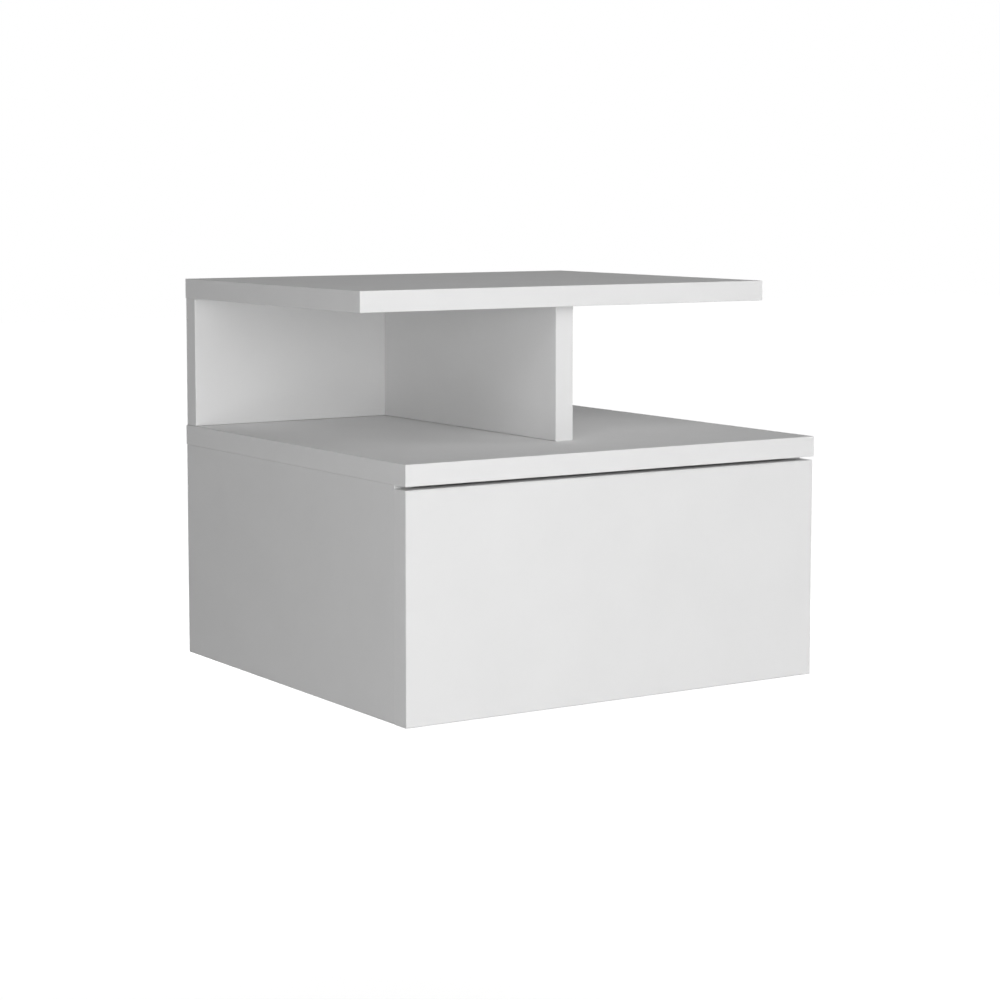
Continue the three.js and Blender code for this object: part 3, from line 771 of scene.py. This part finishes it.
def pocket_cutters(board):
    """Cutters for the cams' pockets and the screws' countersunk holes of a board."""
    shapes = []
    for node in frame["nodes"]:
        if not overlaps(node, board):
            continue
        if node.endswith("_cam"):
            shape = rod_cutter(radii(node)[-1] + HOLE_GAP, -OVERRUN, length_of(node) + HOLE_GAP, 0)
            shapes.append(moved(shape, stood(node, open_face(node, board))))
        elif "screw" in node:
            _, shank, head = radii(node)
            wide, narrow = head + HOLE_GAP / 2, shank + HOLE_GAP / 2
            end = length_of(node) + HOLE_GAP
            cone = RIM_STEP + head - shank
            outline = [(0, -OVERRUN), (wide, -OVERRUN), (wide, RIM_STEP), (narrow, cone)]
            outline += [(narrow, end), (0, end)]
            shapes.append(moved(turned(outline), stood(node, wide_end(node))))
    return shapes


def bore_cutters(board):
    """Cutters for the cam bolts' bores of a board."""
    shapes = []
    for node in frame["nodes"]:
        if node.endswith("_cam_bolt") and overlaps(node, board):
            shape = rod_cutter(radii(node)[-1] + HOLE_GAP, -HOLE_GAP, length_of(node) + HOLE_GAP)
            shapes.append(moved(shape, stood(node, -head_end(node))))
    return shapes


def wall_hole_cutters():
    """Cutters for the four holes that the record's openings give in the case's back panel."""
    low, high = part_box("case_back_panel")
    shapes = []
    for opening in record["physics"]["openings"]:
        if not opening["name"].startswith("wall_hole"):
            continue
        near, far = (Vector(corner) for corner in opening["box_m"])
        foot = (near + far) / 2
        foot.y = low.y
        upright = Matrix.Translation(foot) @ Matrix.Rotation(-math.pi / 2, 4, "X")
        shape = rod_cutter(WALL_HOLE_RADIUS, -OVERRUN, high.y - low.y + OVERRUN, 0)
        shapes.append(moved(shape, upright))
    return shapes


def groove_cutters(board):
    """Cutters for the groove that holds the drawer's bottom, in one of the boards round it."""
    low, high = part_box("drawer_bottom")
    gap = Vector((PANEL_GAP, PANEL_GAP, PANEL_GAP))
    low, high = low - gap, high + gap
    if board.startswith("drawer_side"):
        high.y += OVERRUN
        low.y -= GROOVE_DEPTH
    shape = bmesh.new()
    add_box(shape, low, high)
    return [shape]


def add_edging(board):
    """The bands on a board's edges. Returns the box that they leave for its core."""
    low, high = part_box(board)
    core_low, core_high = low.copy(), high.copy()
    strips = []
    for side in BANDS[board]:
        axis, sign = AXES[side]
        band_low, band_high = core_low.copy(), core_high.copy()
        if sign > 0:
            core_high[axis] -= BAND_THICKNESS
            band_low[axis] = core_high[axis]
        else:
            core_low[axis] += BAND_THICKNESS
            band_high[axis] = core_low[axis]
        strip = bmesh.new()
        add_box(strip, band_low, band_high)
        strip.normal_update()
        outer = [
            edge for edge in strip.edges
            if all(on_surface(face, low, high) for face in edge.link_faces)
        ]
        bevel(strip, outer, BAND_RADIUS, BAND_SEGMENTS)
        strips.append(strip)
    smooth(stand_in(f"{board}_edging", joined(strips, 0), [edge_band], board))
    return core_low, core_high


def add_board(board):
    """A board as a core with two melamine faces and raw edges, and a band on its edges."""
    core_low, core_high = add_edging(board)
    for side in BUTTS.get(board, ()):
        axis, sign = AXES[side]
        end = core_high if sign > 0 else core_low
        end[axis] -= sign * JOINT_GAP
    core = bmesh.new()
    add_box(core, core_low, core_high)
    bevel(core, core.edges, HAIRLINE)
    thin = thin_axis(board)
    core.normal_update()
    for face in core.faces:
        face.material_index = 0 if abs(face.normal[thin]) > FACING else 1
    piece = stand_in(f"{board}_core", core, [melamine, chipboard], board)
    pockets = pocket_cutters(board)
    if board == "case_back_panel":
        pockets += wall_hole_cutters()
    layers = [pockets, bore_cutters(board)]
    if board.startswith("drawer_side") or board == "drawer_front":
        layers.append(groove_cutters(board))
    smooth(cut(piece, *(joined(layer) for layer in layers if layer)))


def add_drawer_bottom():
    """A hardboard panel, lacquered on top and raw below."""
    low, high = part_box("drawer_bottom")
    shape = bmesh.new()
    add_box(shape, low, high)
    bevel(shape, shape.edges, RIM_CHAMFER, EDGE_SEGMENTS)
    shape.normal_update()
    for face in shape.faces:
        face.material_index = 0 if face.normal.z > FACING else 1
    smooth(stand_in("drawer_bottom_panel", shape, [lacquer, fibreboard], "drawer_bottom"))


# Slides

def filleted(outline, radius_of):
    """The outline with each corner rounded to the radius that radius_of gives for its index."""
    points = []
    count = len(outline)
    for index in range(count):
        corner = Vector(outline[index])
        before = (Vector(outline[index - 1]) - corner).normalized()
        after = (Vector(outline[(index + 1) % count]) - corner).normalized()
        radius = radius_of[index]
        half = before.angle(after) / 2
        reach = radius / math.tan(half)
        centre = corner + (before + after).normalized() * radius / math.sin(half)
        first = (corner + before * reach - centre).normalized()
        last = (corner + after * reach - centre).normalized()
        for step in range(ARC_STEPS + 1):
            points.append(centre + radius * first.slerp(last, step / ARC_STEPS))
    return points


def rail_shape(side, outline, radius_of, wall, base, front, rear):
    """A rail from [offset, height] points: offset is the distance from the side panel's face at
    wall, and height is measured up from base."""
    points = [
        (wall - side * offset, base + height)
        for offset, height in filleted(outline, radius_of)
    ]
    shape = bmesh.new()
    ends = [[shape.verts.new((x, y, z)) for x, z in points] for y in (front, rear)]
    for ring in ends:
        shape.faces.new(ring)
    count = len(points)
    for step in range(count):
        after = (step + 1) % count
        shape.faces.new((ends[0][step], ends[0][after], ends[1][after], ends[1][step]))
    return shape


def slot_cutters(rail, web):
    """Cutters for the slots of a rail whose upright sheet stands at web. Each runs along Y."""
    low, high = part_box(rail)
    outline = []
    for step in range(ROUND_SIDES):
        angle = 2 * math.pi * (step + 0.5) / ROUND_SIDES
        shift = math.copysign(SLOT_LENGTH / 2, math.cos(angle))
        outline.append((SLOT_RADIUS * math.cos(angle) + shift, SLOT_RADIUS * math.sin(angle)))
    turn = Matrix(((0, 0, 1), (1, 0, 0), (0, 1, 0))).to_4x4()  # lays the cutter's axis along X
    shapes = []
    for share in SLOT_SHARES:
        along = low.y + share * (high.y - low.y)
        place_at = Matrix.Translation((web, along, (low.z + high.z) / 2))
        shapes.append(moved(prism(outline, -3 * OVERRUN, 3 * OVERRUN), place_at @ turn))
    return shapes


def hole_cutters(rail, pin):
    """Cutters for the countersunk holes of a rail's own screws and for the tail of its pin."""
    tail = radii(pin)[-4]
    shapes = [moved(rod_cutter(tail, -OVERRUN, RAIL_GAUGE + OVERRUN), stood(pin, -wide_end(pin)))]
    for node in frame["nodes"]:
        if node.startswith(rail) and "screw" in node:
            _, shank, head = radii(node)
            wide, narrow, end = head + HOLE_GAP / 2, shank + HOLE_GAP, 4 * OVERRUN
            outline = [(0, -OVERRUN), (wide, -OVERRUN), (wide, 0), (narrow, wide - narrow)]
            outline += [(narrow, end), (0, end)]
            shapes.append(moved(turned(outline), stood(node, wide_end(node))))
    return shapes


def add_cabinet_rail(label, side):
    """The channel on a side panel: folded sheet with a lip, a notch over its roller and slots
    beside its screws."""
    node = f"cabinet_rail_{label}"
    low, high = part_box(node)
    wall = low.x if side < 0 else high.x
    width, height = high.x - low.x, high.z - low.z
    lip = RAIL_GAUGE + CABINET_LIP
    inner, roof = width - RAIL_GAUGE, height - RAIL_GAUGE
    outline = [
        (0, 0), (width, 0), (width, lip), (inner, lip), (inner, RAIL_GAUGE),
        (RAIL_GAUGE, RAIL_GAUGE), (RAIL_GAUGE, roof), (width, roof), (width, height), (0, height),
    ]
    fold, outside, edge = FOLD_RADIUS, FOLD_RADIUS + RAIL_GAUGE, SHEET_EDGE_RADIUS
    radius_of = [outside, outside, edge, edge, fold, fold, fold, edge, edge, outside]
    shape = rail_shape(side, outline, radius_of, wall, low.z, low.y, high.y)
    rail = stand_in(f"{node}_channel", shape, [epoxy], node)

    notch = bmesh.new()
    far = wall - side * (width + OVERRUN)
    near = wall - side * RAIL_GAUGE
    notch_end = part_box(f"cabinet_roller_{label}")[1].y + NOTCH_CLEARANCE
    add_box(
        notch,
        (min(near, far), low.y - OVERRUN, low.z + roof - OVERRUN),
        (max(near, far), notch_end, high.z + OVERRUN),
    )
    web = wall - side * RAIL_GAUGE / 2
    holes = slot_cutters(node, web) + hole_cutters(node, f"cabinet_roller_pin_{label}")
    smooth(cut(rail, notch, joined(holes)))


def add_stop(label):
    """The stop tab of a cabinet rail, lanced out of its floor."""
    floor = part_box(f"cabinet_rail_{label}")[0].z
    roller_low, roller_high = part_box(f"cabinet_roller_{label}")
    back_low, back_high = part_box(f"drawer_roller_{label}")
    travel = record["behaviour"]["joints"][0]["range_m"][1]
    radius = (back_high.z - back_low.z) / 2
    drop = radius + HOLE_GAP - STOP_HEIGHT
    face = (back_low.y + back_high.y) / 2 - travel - math.sqrt(radius**2 - drop**2) - HOLE_GAP
    shape = bmesh.new()
    add_box(
        shape,
        (roller_low.x, face - RAIL_GAUGE, floor + RAIL_GAUGE / 2),
        (roller_high.x, face, floor + RAIL_GAUGE + STOP_HEIGHT),
    )
    bevel(shape, shape.edges, SHEET_EDGE_RADIUS, EDGE_SEGMENTS)
    smooth(add_piece(f"cabinet_rail_{label}_stop", shape, [epoxy], "case", "epoxy_steel"))


def add_drawer_rail(label, side):
    """The rail on the drawer: a flange under the box, a web beside it and a track on top."""
    node = f"drawer_rail_{label}"
    low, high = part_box(node)
    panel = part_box(f"side_panel_{label}")
    wall = panel[1].x if side < 0 else panel[0].x
    outer, inner = (low.x, high.x) if side < 0 else (high.x, low.x)
    box_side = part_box(f"drawer_side_{label}")
    web_inner = abs(wall - (box_side[0].x if side < 0 else box_side[1].x))
    track, flange = abs(wall - outer), abs(wall - inner)
    height = high.z - low.z
    web_outer = web_inner - RAIL_GAUGE
    outline = [
        (web_outer, 0), (flange, 0), (flange, RAIL_GAUGE), (web_inner, RAIL_GAUGE),
        (web_inner, height), (track, height),
        (track, height - RAIL_GAUGE), (web_outer, height - RAIL_GAUGE),
    ]
    fold, outside, edge = FOLD_RADIUS, FOLD_RADIUS + RAIL_GAUGE, SHEET_EDGE_RADIUS
    radius_of = [outside, edge, edge, fold, outside, edge, edge, fold]
    shape = rail_shape(side, outline, radius_of, wall, low.z, low.y, high.y)
    rail = stand_in(f"{node}_track", shape, [epoxy], node)
    web = wall - side * (web_inner - RAIL_GAUGE / 2)
    holes = slot_cutters(node, web) + hole_cutters(node, f"drawer_roller_pin_{label}")
    smooth(cut(rail, joined(holes)))


def add_roller(node):
    """A roller with a recessed web on both faces and rounded edges."""
    sizes = radii(node)
    bore, radius = sizes[0], sizes[-1]
    width = length_of(node)
    hub, rim = bore + ROLLER_HUB_WALL, radius - ROLLER_RIM_WIDTH
    fillet, recess = ROLLER_FILLET, ROLLER_RECESS
    turn = ROLLER_ROUND_SHARE * fillet
    half = [
        (bore, fillet / 2), (bore + fillet / 2, 0), (hub, 0), (hub + fillet / 2, recess),
        (rim - fillet / 2, recess), (rim, 0), (radius - fillet, 0),
        (radius - turn, turn), (radius, fillet),
    ]
    outline = half + [(reach, width - height) for reach, height in reversed(half)]
    shape = moved(turned(outline, closed=True), stood(node, 1))
    smooth(stand_in(f"{node}_wheel", shape, [nylon], node))


def add_pin(node):
    """A riveted pin with a domed head and an upset tail."""
    sizes = radii(node)
    tail, shank, collar, head = sizes[-4], sizes[-3], sizes[-2], sizes[-1]
    length = length_of(node)
    width = length_of(node.replace("_pin", ""))
    cap = length - PIN_HEAD
    neck = cap - HOLE_GAP - width - HOLE_GAP
    outline = [
        (0, 0), (tail - PIN_DOME, 0), (tail, PIN_DOME), (tail, RAIL_GAUGE), (collar, RAIL_GAUGE),
        (collar, neck), (shank, neck), (shank, cap), (head, cap),
    ]
    rim, dome = PIN_HEAD_SHARES
    for step in range(ARC_STEPS):
        angle = math.pi / 2 * step / ARC_STEPS
        height = cap + PIN_HEAD * (rim + dome * math.sin(angle))
        outline.append((head * math.cos(angle), height))
    outline.append((0, length))
    shape = moved(turned(outline), stood(node, -wide_end(node)))
    smooth(stand_in(f"{node}_rivet", shape, [zinc_plate], node))


# Small screws without a node: they hold the drawer's bottom and the rails' flanges

def add_pan_screw(name, point, length):
    """A pan-head screw driven upwards. Its head hangs below the point."""
    outline = [(0, 0)]
    flat, crown = PAN_CROWN_SHARES
    for step in range(ARC_STEPS + 1):
        angle = math.pi / 2 * step / ARC_STEPS
        reach = PAN_HEAD_RADIUS * (flat + crown * math.sin(angle))
        outline.append((reach, PAN_HEAD_HEIGHT * PAN_CROWN_RISE_SHARE * (1 - math.cos(angle))))
    outline += [(PAN_HEAD_RADIUS, PAN_HEAD_HEIGHT), (PAN_SHANK_RADIUS, PAN_HEAD_HEIGHT)]
    end = PAN_HEAD_HEIGHT + length
    pitch = RAIL_SCREW_PITCH
    shank = PAN_SHANK_RADIUS
    root = PAN_ROOT_SHARE * shank
    outline += thread(shank, root, PAN_HEAD_HEIGHT + pitch / 4, end - 2 * shank, pitch)
    outline.append((0, end))
    place_at = Matrix.Translation(Vector(point) - Vector((0, 0, PAN_HEAD_HEIGHT)))
    shape = moved(turned(outline, THREAD_SIDES), place_at)
    screw = add_piece(name, shape, [zinc_plate], "drawer", "zinc_steel")
    reach, width, depth = PAN_CROSS_SHARES
    radius, height = PAN_HEAD_RADIUS, PAN_HEAD_HEIGHT
    recess = cross_recess(reach * radius, width * radius, depth * height)
    smooth(cut(screw, moved(recess, place_at)))


def add_drawer_screws():
    back_low, back_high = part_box("drawer_back")
    y, z = (back_low.y + back_high.y) / 2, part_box("drawer_bottom")[0].z
    for index, share in enumerate(BOTTOM_SCREW_SHARES, 1):
        x = back_low.x + share * (back_high.x - back_low.x)
        add_pan_screw(f"drawer_bottom_screw_{index}", (x, y, z), BOTTOM_SCREW_LENGTH)
    for label in ("left", "right"):
        low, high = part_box(f"drawer_rail_{label}")
        side_low, side_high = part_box(f"drawer_side_{label}")
        x = (side_low.x + side_high.x) / 2
        for index, share in enumerate(FLANGE_SCREW_SHARES, 1):
            y = low.y + share * (high.y - low.y)
            name = f"drawer_rail_{label}_flange_screw_{index}"
            add_pan_screw(name, (x, y, low.z), FLANGE_SCREW_LENGTH)


def host_of(cam):
    """The board that a cam sits in."""
    return next(
        board for board in BANDS
        if overlaps(cam, board) and thin_axis(board) == axis_of(cam)
    )


def thin_axis(board):
    low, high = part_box(board)
    return min(range(3), key=lambda i: high[i] - low[i])


def add_fasteners():
    for node in list(frame["nodes"]):
        if node.endswith("_cam"):
            add_cam(node, host_of(node), f"{node}_bolt")
        elif node.endswith("_cam_bolt"):
            add_cam_bolt(node)
        elif "rail" in node and "screw" in node:
            add_screw(node, RAIL_SCREW_PITCH, cross_recess(*RAIL_SCREW_RECESS))
        elif node.startswith("drawer_back_screw"):
            add_screw(node, BOX_SCREW_PITCH, cross_recess(*BOX_SCREW_RECESS))
        elif node.endswith("_screw"):
            add_screw(node, CONFIRMAT_PITCH, hex_recess(*CONFIRMAT_SOCKET))


for board in BANDS:
    add_board(board)
add_drawer_bottom()
add_fasteners()
for label, side in (("left", -1), ("right", 1)):
    add_cabinet_rail(label, side)
    add_stop(label)
    add_drawer_rail(label, side)
    for owner in ("cabinet", "drawer"):
        add_roller(f"{owner}_roller_{label}")
        add_pin(f"{owner}_roller_pin_{label}")
add_drawer_screws()


# Stage: a pale floor well below, soft lamps and the photograph's camera

def seen_rays(tree):
    """1 for rays that show a thing to the camera, by itself, in a reflection or through glass."""
    path = tree.nodes.new("ShaderNodeLightPath")
    keys = ("Is Camera Ray", "Is Glossy Ray", "Is Transmission Ray")
    camera, glossy, through = (path.outputs[key] for key in keys)
    return calculate(tree, "MAXIMUM", calculate(tree, "MAXIMUM", camera, glossy), through)


def light_world():
    world = bpy.data.worlds.new("studio")
    bpy.context.scene.world = world
    world.use_nodes = True
    tree = world.node_tree
    strength = spread(tree, seen_rays(tree), WORLD_STRENGTH, 1.0, 0.0, 1.0)
    background = tree.nodes["Background"]
    background.inputs["Color"].default_value = (*WHITE, 1.0)
    tree.links.new(strength, background.inputs["Strength"])


def floor_material():
    """A pale floor that shows white, keeps soft shadows and is clear from below."""
    material = bpy.data.materials.new("studio_floor")
    material.use_nodes = True
    tree = material.node_tree
    tree.nodes.clear()
    diffuse = add_node(tree, "ShaderNodeBsdfDiffuse", {"Color": (*FLOOR_COLOUR, 1.0)})
    away = add_node(tree, "ShaderNodeVectorMath", {0: place(tree)}, operation="LENGTH")
    reach = away.outputs["Value"]
    level = spread(tree, reach, GLOW_NEAR, 1.0, GLOW_NEAR_REACH, GLOW_FAR_REACH)
    strength = calculate(tree, "MULTIPLY", level, seen_rays(tree))
    glow = add_node(tree, "ShaderNodeEmission", {"Color": (*WHITE, 1.0), "Strength": strength})
    surface = add_node(tree, "ShaderNodeAddShader", {0: diffuse.outputs[0], 1: glow.outputs[0]})
    clear = tree.nodes.new("ShaderNodeBsdfTransparent")
    geometry = tree.nodes.new("ShaderNodeNewGeometry")
    sides = {"Fac": geometry.outputs["Backfacing"], 1: surface.outputs[0], 2: clear.outputs[0]}
    mixed = add_node(tree, "ShaderNodeMixShader", sides)
    output = tree.nodes.new("ShaderNodeOutputMaterial")
    tree.links.new(mixed.outputs[0], output.inputs["Surface"])
    return material


def add_floor():
    shape = bmesh.new()
    squares = {"x_segments": FLOOR_SQUARES, "y_segments": FLOOR_SQUARES}
    bmesh.ops.create_grid(shape, size=FLOOR_REACH, **squares)
    floor = add_object("floor", mesh_of("floor", shape))
    floor.data.materials.append(floor_material())
    floor.location.z = FLOOR_LEVEL
    floor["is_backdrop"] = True


def add_lamp(name, place_at, size, power):
    data = bpy.data.lights.new(name, "AREA")
    data.shape = "SQUARE"
    data.size = size
    data.energy = power
    lamp = add_object(name, data)
    lamp.location = place_at
    lamp.visible_camera = False
    middle = (cad_box[0] + cad_box[1]) / 2
    lamp.rotation_euler = (middle - lamp.location).to_track_quat("-Z", "Y").to_euler()


def add_camera():
    data = bpy.data.cameras.new("camera")
    data.lens = CAMERA_LENS
    data.sensor_width = SENSOR_WIDTH
    data.shift_x, data.shift_y = CAMERA_SHIFT
    camera = add_object("camera", data)
    camera.location = CAMERA_PLACE
    camera.rotation_euler = (math.pi / 2 - CAMERA_PITCH, 0.0, -CAMERA_YAW)
    bpy.context.scene.camera = camera


light_world()
add_floor()
for lamp in LAMPS:
    add_lamp(*lamp)
add_camera()
bpy.context.scene.view_settings.view_transform = "Standard"

visual_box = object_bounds()
boxes = {"cad": cad_box, "visual": visual_box}
{key: [list(corner) for corner in box] for key, box in boxes.items()}
